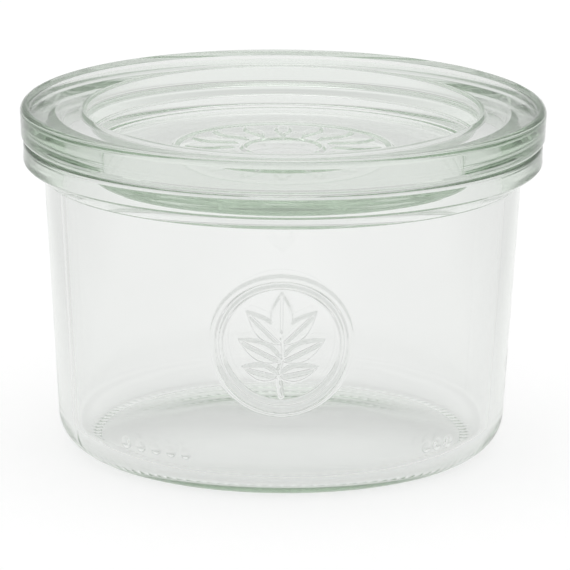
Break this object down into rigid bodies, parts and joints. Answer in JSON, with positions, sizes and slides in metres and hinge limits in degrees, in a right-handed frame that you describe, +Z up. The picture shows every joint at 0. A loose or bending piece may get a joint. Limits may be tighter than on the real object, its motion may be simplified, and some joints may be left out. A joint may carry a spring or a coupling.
{
  "type": "glass preserving jar",
  "caption": "Small round glass preserving jar with tapered straight sides, a thick collar round its mouth and a loose recessed glass lid that rests on it.",
  "frame": {"origin": "centre of the foot ring that the jar stands on", "axes": "+Z up along the axis of jar and lid; +Y points away from the medallion on the jar's wall, +X to its right"},
  "size_m": [0.0878, 0.0878, 0.0584],
  "materials": {
    "jar_glass": "clear pressed soda-lime glass with a faint green tint, smooth and glossy",
    "lid_glass": "clear pressed soda-lime glass with a faint green tint, smooth and glossy"
  },
  "bodies": {
    "root": {"jar": "jar_glass", "lid": "lid_glass"}
  },
  "joints": []
}
